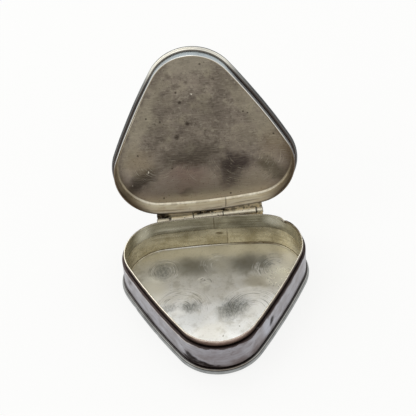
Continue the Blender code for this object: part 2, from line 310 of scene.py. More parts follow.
class Finish:
    """Builds one silver finish, layer by layer: colour, roughness and relief."""

    def __init__(self, name, colour, roughness, wander=0.6, metallic=1.0):
        self.material = bpy.data.materials.new(name)
        self.material.use_nodes = True
        self.tree = self.material.node_tree
        self.shader = self.tree.nodes["Principled BSDF"]
        self.shader.inputs["Metallic"].default_value = metallic
        self.colour, self.roughness, self.height = colour, roughness, None
        coords = self.add("ShaderNodeTexCoord").outputs["Object"]
        self.point = self.vector("SCALE", coords, scale=1000.0)
        drift = self.noise(2.6, detail=3.0, output="Color")
        drift = self.vector("SUBTRACT", drift, (0.5, 0.5, 0.5))
        drift = self.vector("SCALE", drift, scale=4.0 * wander)
        self.warped = self.vector("ADD", self.point, drift)
        fray = self.noise(0.9, detail=3.0, output="Color", shift=(6.0, 2.0, 9.0))
        fray = self.vector("SCALE", self.vector("SUBTRACT", fray, (0.5, 0.5, 0.5)), scale=0.3)
        self.frayed = self.vector("ADD", self.point, fray)

    def add(self, kind, **settings):
        node = self.tree.nodes.new(kind)
        for key, value in settings.items():
            setattr(node, key, value)
        return node

    def link(self, value, socket):
        if isinstance(value, bpy.types.NodeSocket):
            self.tree.links.new(value, socket)
        else:
            socket.default_value = value

    def vector(self, operation, a, b=None, scale=None):
        node = self.add("ShaderNodeVectorMath", operation=operation)
        self.link(a, node.inputs[0])
        if b is not None:
            self.link(b, node.inputs[1])
        if scale is not None:
            self.link(scale, node.inputs["Scale"])
        return node.outputs["Value" if operation in ("LENGTH", "DOT_PRODUCT") else "Vector"]

    def math(self, operation, a, b=None, c=None):
        node = self.add("ShaderNodeMath", operation=operation)
        for value, socket in zip((a, b, c), node.inputs):
            if value is not None:
                self.link(value, socket)
        return node.outputs[0]

    def noise(self, size, detail=4.0, roughness=0.55, stretch=(1.0, 1.0, 1.0), turn=(0, 0, 0),
              shift=(0, 0, 0), output="Fac"):
        mapping = self.add("ShaderNodeMapping")
        self.link(self.point, mapping.inputs["Vector"])
        mapping.inputs["Rotation"].default_value = [radians(a) for a in turn]
        mapping.inputs["Scale"].default_value = [s / size for s in stretch]
        mapping.inputs["Location"].default_value = shift
        node = self.add("ShaderNodeTexNoise")
        self.link(mapping.outputs["Vector"], node.inputs["Vector"])
        node.inputs["Scale"].default_value = 1.0
        node.inputs["Detail"].default_value = detail
        node.inputs["Roughness"].default_value = roughness
        return node.outputs[output]

    def noise_of(self, value, detail):
        """Noise along one number, such as a distance."""
        node = self.add("ShaderNodeTexNoise", noise_dimensions="1D")
        self.link(value, node.inputs["W"])
        node.inputs["Scale"].default_value = 1.0
        node.inputs["Detail"].default_value = detail
        return node.outputs["Fac"]

    def smooth(self, value, low, high, start=0.0, end=1.0):
        """Ease from start to end as value passes from low to high."""
        node = self.add("ShaderNodeMapRange", interpolation_type="SMOOTHSTEP")
        self.link(value, node.inputs["Value"])
        for key, number in (("From Min", low), ("From Max", high), ("To Min", start), ("To Max", end)):
            self.link(number, node.inputs[key])
        return node.outputs["Result"]

    def mix(self, amount, a, b):
        node = self.add("ShaderNodeMix", data_type="RGBA")
        self.link(amount, node.inputs[0])
        self.link(a, node.inputs[6])
        self.link(b, node.inputs[7])
        return node.outputs[2]

    def mix_value(self, amount, a, b):
        node = self.add("ShaderNodeMix", data_type="FLOAT")
        for value, index in ((amount, 0), (a, 2), (b, 3)):
            self.link(value, node.inputs[index])
        return node.outputs[0]

    def axis(self, which, source=None):
        node = self.add("ShaderNodeSeparateXYZ")
        self.link(source or self.point, node.inputs[0])
        return node.outputs[which]

    # masks, all 0 to 1

    def times(self, mask, amount):
        return self.math("MULTIPLY", mask, amount)

    def ramp(self, which, low, high):
        """Rises from 0 to 1 along one axis, between limits that wander a little."""
        return self.smooth(self.axis(which, self.warped), low, high)

    def blot_mask(self, centre, radii, turn=0.0, soft=0.5, source=None):
        """A soft ellipse or ellipsoid. A two-part centre reaches through all heights."""
        mapping = self.add("ShaderNodeMapping", vector_type="TEXTURE")
        self.link(source or self.warped, mapping.inputs["Vector"])
        flat = len(centre) == 2
        mapping.inputs["Location"].default_value = (*centre, 0.0) if flat else centre
        mapping.inputs["Scale"].default_value = (*radii, 1000.0) if flat else radii
        mapping.inputs["Rotation"].default_value = (0.0, 0.0, radians(turn))
        distance = self.vector("LENGTH", mapping.outputs["Vector"])
        return self.smooth(distance, 1.0 + soft, 1.0 - soft)

    def band_mask(self, which, low, high, soft, ragged=True):
        value = self.axis(which, self.frayed if ragged else self.point)
        rise = self.smooth(value, low - soft, low + soft)
        fall = self.smooth(value, high + soft, high - soft)
        return self.times(rise, fall)

    # layers

    def paint(self, mask, colour, amount=None, roughness=None):
        if amount is not None:
            mask = self.times(mask, amount)
        self.colour = self.mix(mask, self.colour, colour)
        if roughness is not None:
            self.roughness = self.mix_value(mask, self.roughness, roughness)

    def blots(self, *rows):
        """Each row has a tone, a centre, radii, a turn, a strength and a softness."""
        for colour, centre, radii, turn, amount, soft in rows:
            self.paint(self.blot_mask(centre, radii, turn, soft), colour, amount)

    def cloud(self, colour, size, low, high, amount=1.0, detail=4.0, roughness=None, **noise_settings):
        mask = self.smooth(self.noise(size, detail=detail, **noise_settings), low, high)
        self.paint(mask, colour, amount, roughness)

    def relief(self, value, amount):
        value = self.times(value, amount)
        self.height = value if self.height is None else self.math("ADD", self.height, value)

    def hairlines(self, size, turn, depth, colour_amount=0.0, colour=None, length=16.0, shift=(0, 0, 0)):
        """Fine straight scratches along one direction of the plan."""
        lines = self.noise(size, detail=5.0, roughness=0.65, stretch=(1.0 / length, 1.0, 1.0 / length),
                           turn=(0, 0, turn), shift=shift)
        self.relief(lines, depth)
        if colour_amount:
            self.paint(self.smooth(lines, 0.52, 0.7), colour, colour_amount)

    def done(self, anisotropy=0.0, tangent=None, strength=0.5):
        self.link(self.colour, self.shader.inputs["Base Color"])
        rough = self.noise(0.7, detail=5.0, roughness=0.6, shift=(3.1, 7.7, 1.3))
        rough = self.math("MULTIPLY_ADD", rough, 0.16, -0.08)
        self.link(self.math("ADD", rough, self.roughness), self.shader.inputs["Roughness"])
        self.shader.inputs["Anisotropic"].default_value = anisotropy
        if tangent is not None:
            self.link(tangent, self.shader.inputs["Tangent"])
        if self.height is not None:
            bump = self.add("ShaderNodeBump")
            bump.inputs["Strength"].default_value = strength
            bump.inputs["Distance"].default_value = 1.0 * MM
            self.link(self.height, bump.inputs["Height"])
            self.link(bump.outputs["Normal"], self.shader.inputs["Normal"])
        return self.material


def from_centre(f, x, y, stray):
    """The way and the distance from a centre on the plan, the distance straying a little."""
    away = f.vector("MULTIPLY", f.vector("SUBTRACT", f.point, (x, y, 0.0)), (1.0, 1.0, 0.0))
    return away, f.vector("LENGTH", f.vector("ADD", away, stray))


def floor_finish():
    """Polished inner floor: overlapping engine-turned swirls in bright silver, duller to the back and painted
    darker there as a painted reflection of the dark lid.
    """
    f = Finish("floor_silver", tone(252, 253, 250), 0.32, metallic=0.54)
    # Whitest at the front corner, a painted reflection of bright light.
    f.paint(f.ramp("Y", -2.0, 6.0), tone(248, 247, 241))
    f.cloud(tone(220, 217, 205), 6.0, 0.44, 0.70, 0.5)
    f.cloud(tone(180, 176, 161), 2.2, 0.48, 0.68, 0.50, detail=5.0)
    f.cloud(tone(255, 255, 252), 1.6, 0.52, 0.68, 0.7, detail=5.0, shift=(7, 7, 7))
    # Along the back: painted darker and warmer, a painted reflection of the dark lid, and a little rougher.
    f.paint(f.ramp("Y", 8.0, 17.0), tone(196, 188, 160), 0.6, 0.34)
    f.paint(f.ramp("Y", 14.5, 17.5), tone(244, 236, 206), 0.45)
    f.blots((tone(148, 143, 124), (-1.0, 12.6), (14.0, 2.6), 0, 0.30, 0.6),
            (tone(110, 106, 92), (-5.2, 13.1), (4.0, 3.0), -4, 0.68, 0.8),
            (tone(100, 96, 84), (8.0, 13.0), (3.9, 3.0), -8, 0.72, 0.8),
            (tone(206, 202, 186), (1.6, 12.0), (1.5, 2.8), 10, 0.55, 0.8))

    # Centre, reach, strength, the direction in which the arcs show most, how much they show elsewhere.
    swirls = ((0.6, 13.2, 5.5, 0.5, (-0.8, 0.6), 0.08), (-2.0, -9.0, 9.0, 0.4, (0.0, 1.0), 0.08),
              (-12.5, 12.2, 5.2, 1.0, (0.2, 1.0), 0.6), (14.4, 10.6, 6.6, 1.0, (-0.8, 0.6), 0.15),
              (8.4, -2.2, 9.6, 1.0, (-0.1, 1.0), 0.1), (-8.8, -0.5, 8.6, 1.0, (0.2, 1.0), 0.2),
              (-2.8, 7.6, 2.6, 0.9, (0.2, 1.0), 0.3))
    relief, direction = 0.5, (1.0, 0.0, 0.0, 1.0)
    stray = f.vector("SCALE", f.vector("SUBTRACT", f.warped, f.point), scale=0.16)
    for index, (x, y, reach, amount, facing, elsewhere) in enumerate(swirls):
        away, distance = from_centre(f, x, y, stray)
        drift = f.noise_of(f.math("MULTIPLY_ADD", distance, 1.3, 20.0 * index), 2.0)
        phase = f.math("MULTIPLY_ADD", drift, 9.0, f.times(distance, 2 * pi / RING_PITCH))
        # Short strokes along the arcs: noise that is long round the centre and short across.
        around = f.math("ARCTAN2", f.axis("Y", away), f.axis("X", away))
        polar = f.add("ShaderNodeCombineXYZ")
        f.link(f.times(distance, 2.6), polar.inputs[0])
        f.link(f.times(around, 0.8), polar.inputs[1])
        polar.inputs[2].default_value = 5.0 * index
        strokes = f.add("ShaderNodeTexNoise")
        f.link(polar.outputs[0], strokes.inputs["Vector"])
        strokes.inputs["Scale"].default_value = 1.0
        strokes.inputs["Detail"].default_value = 3.0
        rings = f.math("MULTIPLY_ADD", f.math("SINE", phase), 0.16, 0.5)
        coarse = f.smooth(strokes.outputs["Fac"], 0.32, 0.68, -0.30, 0.30)
        rings = f.math("ADD", rings, coarse)
        rings = f.mix_value(f.smooth(distance, 0.5, 1.6), 0.5, rings)
        inside = f.times(f.smooth(distance, reach, reach * 0.55), amount)
        facing_dot = f.vector("DOT_PRODUCT", f.vector("NORMALIZE", away), (*facing, 0.0))
        visible = f.smooth(facing_dot, -0.35, 0.55, elsewhere, 1.0)
        relief = f.mix_value(inside, relief, f.mix_value(visible, 0.5, rings))
        direction = f.mix(inside, direction, f.vector("NORMALIZE", away))
    f.relief(relief, 0.007)
    # The rings are painted darker on their ridges and lighter in their hollows, a painted reflection of the
    # turned rings, more in some places than in others.
    uneven_ring_light_shade = f.smooth(f.noise(1.3, detail=5.0, shift=(9, 1, 3)), 0.34, 0.60, 0.18, 1.0)
    worn = f.smooth(f.axis("Y", f.warped), -6.0, 0.5, 0.25, 1.0)
    uneven_ring_light_shade = f.times(uneven_ring_light_shade, worn)
    f.paint(f.times(f.smooth(relief, 0.50, 0.82), f.times(uneven_ring_light_shade, 0.75)), tone(132, 131, 122))
    f.paint(f.times(f.smooth(relief, 0.50, 0.18), f.times(uneven_ring_light_shade, 0.9)), tone(255, 255, 253))
    f.hairlines(0.22, 35, 0.0020)
    f.hairlines(0.30, -20, 0.0016, shift=(4, 2, 1))
    grain = f.noise(0.45, detail=5.0, roughness=0.7, shift=(2, 2, 6))
    f.paint(f.smooth(grain, 0.52, 0.70), tone(150, 147, 134), 0.35)
    # Cool and warm patches, painted highlights, painted dark wedges where the turned rings reflect dark, and
    # a few specks.
    f.blots((tone(222, 226, 226), (-7.5, -4.5), (3.6, 3.0), 0, 0.3, 0.5),
            (tone(242, 238, 222), (-2.0, -8.0), (3.5, 2.6), 20, 0.4, 0.5),
            (tone(172, 162, 130), (9.6, 6.8), (3.2, 1.8), 0, 0.55, 0.5))
    # Painted highlights: bright reflections towards the two back corners, the right one also smoother.
    f.paint(f.blot_mask((15.4, 7.6), (3.0, 3.2), soft=0.8), tone(255, 252, 236), 0.9, 0.24)
    f.blots((tone(255, 252, 236), (-15.0, 7.0), (2.6, 2.6), 0, 0.8, 0.8))
    f.paint(f.band_mask("Y", 1.5, 10.0, 2.0), tone(214, 206, 172), 0.18)
    # Painted highlights at the centres of two swirls.
    f.blots((tone(255, 255, 250), (-9.0, -1.2), (1.2, 0.9), 0, 0.8, 0.8),
            (tone(255, 255, 250), (9.6, -1.6), (1.8, 1.6), 0, 0.7, 0.8))
    # Painted dark wedges where the turned rings reflect dark, streaked along the strokes.
    hatch = f.noise(0.42, detail=6.0, roughness=0.75, stretch=(1.0, 0.45, 1.0), turn=(0, 0, -30),
                    shift=(3, 3, 3))
    painted_wedge_streaks = f.smooth(hatch, 0.40, 0.62)
    for x, y, rx, ry, turn, amount in ((3.6, -1.2, 3.6, 2.6, 35, 0.95), (-6.4, 0.4, 2.1, 1.5, 0, 0.85),
                                       (-11.8, 0.3, 1.6, 1.2, 0, 0.6), (-12.8, 12.4, 1.8, 2.4, 0, 0.7),
                                       (12.2, 12.6, 1.4, 1.8, 0, 0.5)):
        mask = f.times(f.blot_mask((x, y), (rx, ry), turn, 0.7), amount)
        f.paint(mask, tone(128, 130, 124), 0.55)
        f.paint(f.times(mask, f.times(painted_wedge_streaks, 0.75)), tone(84, 88, 84))
    for x, y, size in ((1.2, -9.4, 0.22), (5.0, -7.0, 0.2), (-3.3, 9.0, 0.3), (-2.6, 8.6, 0.25)):
        f.blots((tone(120, 108, 84), (x, y), (size, size), 0, 0.7, 0.5))
    for x, y, turn in ((-2.0, 8.0, -35), (-3.6, 9.1, 30), (-1.7, 7.2, 20)):
        f.blots((tone(250, 248, 236), (x, y), (0.8, 0.22), turn, 0.9, 0.5))
    return f.done(anisotropy=0.5, tangent=f.vector("NORMALIZE", direction), strength=0.6)


def lid_sheet_finish():
    """Inside of the lid's sheet: unpolished, toned brown-grey with darker blotches and pits."""
    f = Finish("lid_sheet_tarnished", tone(132, 122, 110), 0.38, wander=1.1)
    f.cloud(tone(104, 95, 86), 6.0, 0.36, 0.66, 0.9)
    f.cloud(tone(152, 144, 124), 4.0, 0.50, 0.72, 0.7, shift=(5, 1, 2))
    f.cloud(tone(90, 81, 73), 1.7, 0.48, 0.68, 0.65, detail=7.0, shift=(2, 9, 4))
    f.cloud(tone(158, 150, 134), 0.8, 0.50, 0.70, 0.50, detail=7.0, shift=(6, 2, 7))
    f.cloud(tone(78, 70, 62), 0.7, 0.52, 0.70, 0.50, detail=6.0, shift=(1, 8, 2))
    # Thinner toning towards the hinge.
    f.paint(f.ramp("Y", 4.0, 16.0), tone(174, 161, 148), 0.8)
    dark, olive, plum, rust = tone(62, 54, 47), tone(78, 70, 54), tone(56, 46, 46), tone(136, 112, 104)
    # Lighter along the two long sides and at the tip, then the blotches: tone, place, size, turn,
    # strength and softness.
    f.blots(
        (tone(156, 148, 128), (-13.0, -3.0), (1.8, 12.0), 30, 0.5, 0.5),
        (tone(150, 142, 122), (13.5, -2.0), (1.8, 12.0), -30, 0.45, 0.5),
        (tone(150, 143, 126), (0.0, -17.0), (6.0, 3.0), 0, 0.5, 0.5),
        (dark, (-15.6, 12.4), (5.0, 2.2), -33, 0.9, 0.7),
        (rust, (-4.5, 12.6), (4.6, 3.4), 0, 0.6, 0.8),
        (dark, (-2.4, 8.6), (3.8, 2.2), 0, 0.75, 0.8),
        (dark, (-7.6, 7.6), (2.8, 1.8), 0, 0.6, 0.8),
        (dark, (1.5, 6.6), (2.6, 1.4), 0, 0.45, 0.8),
        (plum, (7.4, 10.6), (4.3, 2.6), 0, 0.85, 0.6),
        (plum, (5.6, 13.8), (2.4, 3.4), 0, 0.75, 0.9),
        (dark, (-5.5, 17.0), (1.6, 0.9), 0, 0.45, 0.7),
        (olive, (16.0, 13.2), (3.8, 2.0), 48, 0.85, 0.7),
        (tone(128, 110, 84), (17.2, 6.6), (2.8, 3.4), 0, 0.4, 0.9),
        (tone(92, 74, 52), (21.4, 8.0), (2.2, 7.0), 8, 0.75, 0.8),
        (tone(160, 150, 132), (12.5, 15.2), (4.6, 2.2), -20, 0.5, 0.8),
        (tone(150, 140, 122), (12.0, 3.0), (3.6, 3.0), 0, 0.4, 0.9),
        (tone(156, 142, 132), (-9.2, 13.6), (2.4, 1.8), 0, 0.6, 0.8),
        (tone(146, 132, 106), (-16.0, 7.6), (3.4, 3.0), 0, 0.5, 0.8))
    for x, y, rx, ry in ((-9.5, 0.5, 3.2, 3.0), (-7.5, -6.5, 2.4, 2.4), (2.5, -5.0, 3.2, 2.6),
                         (6.5, -10.5, 1.7, 2.4), (-1.5, 5.5, 4.4, 1.9)):
        f.blots((tone(84, 76, 67), (x, y), (rx, ry), 0, 0.45, 0.8))
    # A lighter band by the back fold.
    f.blots((tone(168, 160, 140), (-1.0, 18.6), (15.0, 1.3), 0, 0.55, 0.8))
    pits = ((-5.6, 2.0, 0.62), (-2.6, -1.4, 0.5), (-3.6, -7.0, 0.42), (-9.0, -2.5, 0.24),
            (-4.2, -9.7, 0.24), (2.5, -16.3, 0.24), (-15.7, 5.7, 0.22), (-8.0, 10.2, 0.22),
            (11.0, -2.8, 0.22), (12.0, -2.3, 0.2), (17.5, 4.0, 0.22), (-11.2, 18.0, 0.22),
            (5.2, 18.7, 0.24), (-12.2, -3.8, 0.22))
    for x, y, size in pits:
        mask = f.times(f.blot_mask((x, y), (size, size), soft=0.6, source=f.frayed), 0.85)
        f.paint(mask, tone(52, 44, 38))
        f.relief(mask, -0.04)
    for x, y, size in ((-0.5, -9.1, 0.2), (-18.0, 13.0, 0.2), (-13.8, 11.0, 0.2)):
        f.blots((tone(232, 226, 210), (x, y), (size, size), 0, 0.9, 0.5))
    # Straight brushing, and turned arcs near the two back corners.
    f.hairlines(0.20, 38, 0.0040, 0.36, tone(178, 170, 152))
    f.hairlines(0.16, 2, 0.0030, 0.26, tone(176, 168, 150), shift=(7, 3, 5))
    f.hairlines(0.24, -62, 0.0025, 0.22, tone(84, 76, 67), length=9.0, shift=(2, 8, 1))
    broken = f.smooth(f.noise(1.4, detail=4.0, shift=(4, 4, 8)), 0.44, 0.62)
    stray = f.vector("SCALE", f.vector("SUBTRACT", f.warped, f.point), scale=0.2)
    for x, y, low, high, shift in ((10.0, 8.0, 4.0, 11.0, 3.0), (-11.0, 7.5, 3.0, 9.0, 40.0),
                                   (-0.5, 11.0, 1.5, 5.0, 70.0)):
        _, distance = from_centre(f, x, y, stray)
        rings = f.noise_of(f.math("MULTIPLY_ADD", distance, 2.8, shift), 2.0)
        inside = f.times(f.smooth(distance, high, high * 0.8), f.smooth(distance, low * 0.7, low))
        below = f.smooth(f.axis("Y"), y, y + 2.5)
        mask = f.times(f.times(inside, below), broken)
        mask = f.times(mask, f.smooth(rings, 0.50, 0.64))
        f.paint(mask, tone(190, 182, 164), 0.4)
    f.cloud(tone(56, 48, 40), 0.42, 0.62, 0.72, 0.6, detail=2.0, shift=(8, 8, 1))
    f.relief(f.noise(0.5, detail=6.0, roughness=0.7), 0.006)
    return f.done(strength=0.6)


def strip_finish(name, colour, dull, grime, roughness, marks=(), edges=(), dirt=0.3, streaks=0.35,
                 lines=(), late=(), wander=0.15, metallic=1.0, local=None, ragged=True):
    """General old silver strip: clouds of tone, fine scratches and grime, with local marks."""
    f = Finish(name, colour, roughness, wander=wander, metallic=metallic)
    f.cloud(dull, 4.0, 0.42, 0.68, 0.8)
    f.cloud(dull, 0.9, 0.48, 0.66, 0.4, detail=6.0, shift=(7, 3, 3), stretch=(0.35, 0.35, 1.0))
    drawn = f.noise(0.42, detail=4.0, roughness=0.6, stretch=(0.05, 0.05, 1.0), shift=(1, 4, 2))
    f.paint(f.smooth(drawn, 0.50, 0.68), dull, streaks)
    f.paint(f.smooth(drawn, 0.46, 0.30), colour, streaks)
    f.cloud(grime, 1.1, 0.60, 0.76, dirt, detail=6.0, roughness=roughness + 0.12, shift=(3, 5, 8))
    if local is not None:
        local(f)
    torn = f.noise(1.1, detail=6.0, roughness=0.65, stretch=(0.5, 0.5, 1.6), shift=(6, 3, 4))
    torn = f.smooth(torn, 0.32, 0.52, 0.60, 1.0)
    for mark, centre, radii, amount in marks:
        mask = f.times(f.blot_mask(centre, radii, soft=0.6), torn)
        f.paint(mask, mark, amount)
    for low, high, soft, mark, amount in edges:
        f.paint(f.band_mask("Z", low, high, soft, ragged), mark, amount)
    for mark, centre, radii, amount in late:
        mask = f.times(f.blot_mask(centre, radii, soft=0.5), torn)
        f.paint(mask, mark, amount, roughness + 0.2)
    for mark, centre, radii, amount in lines:
        mask = f.times(f.blot_mask(centre, radii, soft=0.5, source=f.frayed), amount)
        f.paint(mask, mark)
        f.relief(mask, -0.03)
    f.relief(drawn, 0.012 * streaks)
    f.relief(f.noise(0.35, detail=6.0, roughness=0.7), 0.0018)
    return f.done(strength=0.5)


def plain_finish(name, roughness):
    """Plain outer face of a sheet: satin from handling, duller by the edge, with fine crossing scratches."""
    f = Finish(name, tone(196, 194, 189), roughness, wander=0.8)
    f.cloud(tone(182, 179, 172), 9.0, 0.38, 0.70, 0.7, detail=2.0)
    f.cloud(tone(168, 163, 153), 2.4, 0.54, 0.80, 0.35, detail=7.0, shift=(3, 5, 8))
    middle = sum((point for point, _ in OUTLINE), Vector((0.0, 0.0))) / len(OUTLINE)
    centred = f.vector("SUBTRACT", f.warped, (middle.x, middle.y, 0.0))
    reach = None
    for turn in range(3):
        angle = turn * 2 * pi / 3
        side = f.vector("DOT_PRODUCT", centred, (sin(angle), cos(angle), 0.0))
        reach = side if reach is None else f.math("MAXIMUM", reach, side)
    inner = BACK_Y - middle.y
    f.paint(f.smooth(reach, inner - 5.0, inner - 0.2), tone(140, 135, 126), 0.7, roughness + 0.10)
    for size, turn, shift in ((0.20, 12, 1), (0.26, -35, 5), (0.22, 71, 9)):
        f.hairlines(size, turn, 0.0022, 0.22, tone(222, 221, 216), length=22.0, shift=(shift, 5, 2))
    f.cloud(tone(92, 84, 74), 0.7, 0.64, 0.74, 0.5, detail=3.0, shift=(1, 8, 2))
    f.relief(f.noise(0.5, detail=6.0, roughness=0.7), 0.003)
    return f.done(strength=0.5)


def along_hinge(f):
    """Distance along the hinge from its middle, in millimetres."""
    return f.vector("DOT_PRODUCT", f.vector("SUBTRACT", f.frayed, tuple(AXIS_POINT)), tuple(ALONG))


def knuckle_finish(name, colour):
    """Bright worn barrels, darker where one knuckle meets the next."""
    f = Finish(name, colour, 0.34, wander=0.12, metallic=0.6)
    f.cloud(tone(214, 198, 166), 1.2, 0.50, 0.70, 0.5)
    f.cloud(tone(150, 130, 98), 0.5, 0.56, 0.72, 0.4, detail=5.0, shift=(5, 5, 5))
    along = along_hinge(f)
    for end, reach in zip(KNUCKLE_ENDS, (0.2, 0.5, 0.24, 0.2, 0.3, 0.2)):
        gap = f.math("ABSOLUTE", f.math("SUBTRACT", along, end))
        f.paint(f.smooth(gap, reach, reach * 0.3), tone(50, 38, 26), 0.85, 0.5)
    f.cloud(tone(62, 46, 30), 0.6, 0.60, 0.69, 0.65, detail=3.0, shift=(1, 4, 2))
    f.relief(f.noise(0.3, detail=5.0), 0.008)
    return f.done(strength=0.5)


def bearer_finish():
    """Bearer strips: bright solder under the lid's knuckles, dark elsewhere: painted shade of the gap between
    the lid's rim and the barrels, with old dirt.
    """
    f = Finish("bearer_silver", tone(128, 110, 82), 0.34, wander=0.12, metallic=0.75)
    f.cloud(tone(246, 228, 186), 1.1, 0.45, 0.55, 0.9, detail=3.0)
    # Dark patches: painted shade of the gap, with old dirt.
    f.cloud(tone(36, 25, 16), 1.0, 0.52, 0.59, 0.9, detail=3.0, shift=(4, 4, 1))
    along = along_hinge(f)
    for start, end, amount in ((KNUCKLE_ENDS[1], KNUCKLE_ENDS[2], 0.9),
                               (KNUCKLE_ENDS[3] + 1.0, KNUCKLE_ENDS[5], 0.35)):
        mask = f.times(f.smooth(along, start, start + 0.4), f.smooth(along, end, end - 0.4))
        f.paint(mask, tone(242, 227, 192), amount)
    mask = f.smooth(along, KNUCKLE_ENDS[1] + 0.2, KNUCKLE_ENDS[1] - 0.6)
    f.paint(mask, tone(44, 32, 22), 0.8)
    f.relief(f.noise(0.4, detail=6.0, roughness=0.7), 0.010)
    return f.done(strength=0.6)


# ---------------------------------------------------------------- pieces

def gilt_traces(f):
    """Mottled toning, a painted shadow with grime along the wall's top edge under the bezel, and traces of
    brighter metal on the left.
    """
    f.cloud(tone(112, 102, 103), 1.3, 0.48, 0.70, 0.50, detail=7.0, stretch=(0.5, 0.5, 1.0), shift=(2, 2, 5))
    f.cloud(tone(190, 190, 197), 1.7, 0.50, 0.74, 0.32, detail=7.0, stretch=(0.4, 0.4, 1.0), shift=(8, 1, 5))
    # Painted shadow with grime where the bezel stands on the wall's top edge.
    f.paint(f.ramp("Z", 8.24, 8.50), tone(50, 37, 31), 0.92)
    worn = f.smooth(f.noise(1.6, detail=4.0, shift=(2, 6, 1)), 0.36, 0.50)
    left = f.smooth(f.axis("X"), -3.0, -9.0, 0.0, 1.0)
    mask = f.times(f.times(worn, left), f.band_mask("Z", 8.12, 8.34, 0.06))
    f.paint(mask, tone(224, 214, 200), 0.8)


def tear_line(f):
    """A brown line that runs just below the rim from the notch round the right back corner, and painted
    highlights on the bezel's inside.
    """
    near = f.times(f.smooth(f.axis("X"), 16.6, 17.4), f.smooth(f.axis("Y"), 8.0, 11.0))
    mask = f.times(near, f.band_mask("Z", 9.82, 10.08, 0.05))
    f.paint(mask, tone(84, 56, 26), 0.9)
    # Painted reflections of bright light beside the notch, at the left back corner and along the back.
    f.blots((tone(255, 252, 236), (15.4, 18.4, 8.9), (2.4, 1.6, 1.4), 0, 0.9, 0.8),
            (tone(255, 252, 236), (-16.6, 17.4, 8.4), (1.8, 2.0, 2.4), 0, 0.85, 0.8),
            (tone(250, 246, 230), (-9.0, 19.6, 7.6), (5.0, 1.0, 0.5), 0, 0.6, 0.8))


def lid_corners(f):
    """Round the two back corners the lid's inside is browner than along the hinge."""
    away = f.math("ABSOLUTE", f.math("ADD", f.axis("X", f.warped), 1.0))
    f.paint(f.smooth(away, 12.5, 19.0), tone(124, 109, 84), 0.88)
    # A painted highlight along the fold, faint at the corners, then darker in broken patches along the fold.
    fold = f.times(f.band_mask("Z", 12.74, 13.1, 0.06), f.smooth(away, 19.0, 14.0, 0.15, 1.0))
    f.paint(fold, tone(250, 245, 230), 0.45)
    broken = f.smooth(f.noise(1.5, detail=4.0, shift=(2, 7, 7)), 0.44, 0.62)
    fold = f.times(broken, f.band_mask("Z", 12.3, 13.1, 0.2))
    f.paint(fold, tone(190, 176, 146), 0.5)


def lid_sides(f):
    """The lid's outer strip is bright at the front corner and painted black along its sides as painted
    shadow.
    """
    # Painted shadow along the sides, darkest in a band at mid height.
    side = f.ramp("Y", -17.0, -12.0)
    f.paint(side, tone(48, 45, 45), 0.92, 0.34)
    f.paint(f.times(side, f.band_mask("Z", 10.4, 12.0, 0.30)), tone(28, 24, 22))
    # The rim is rubbed bright, except round the two back corners.
    rim = f.band_mask("Z", 8.6, 9.10, 0.04, ragged=False)
    back = f.ramp("Y", 2.0, 8.0)
    f.paint(rim, tone(232, 230, 222), 0.9)
    f.paint(f.times(f.times(rim, 0.9), back), tone(74, 60, 48))


def lid_wire_sides(f):
    """The lid's wire is bright at the front corner and painted grey, then darker, along its sides as painted
    shade.
    """
    side = f.ramp("Y", -17.5, -13.0)
    f.paint(side, tone(98, 102, 102), 0.85)
    f.paint(f.ramp("Y", -14.0, -7.0), tone(50, 50, 52), 0.8)


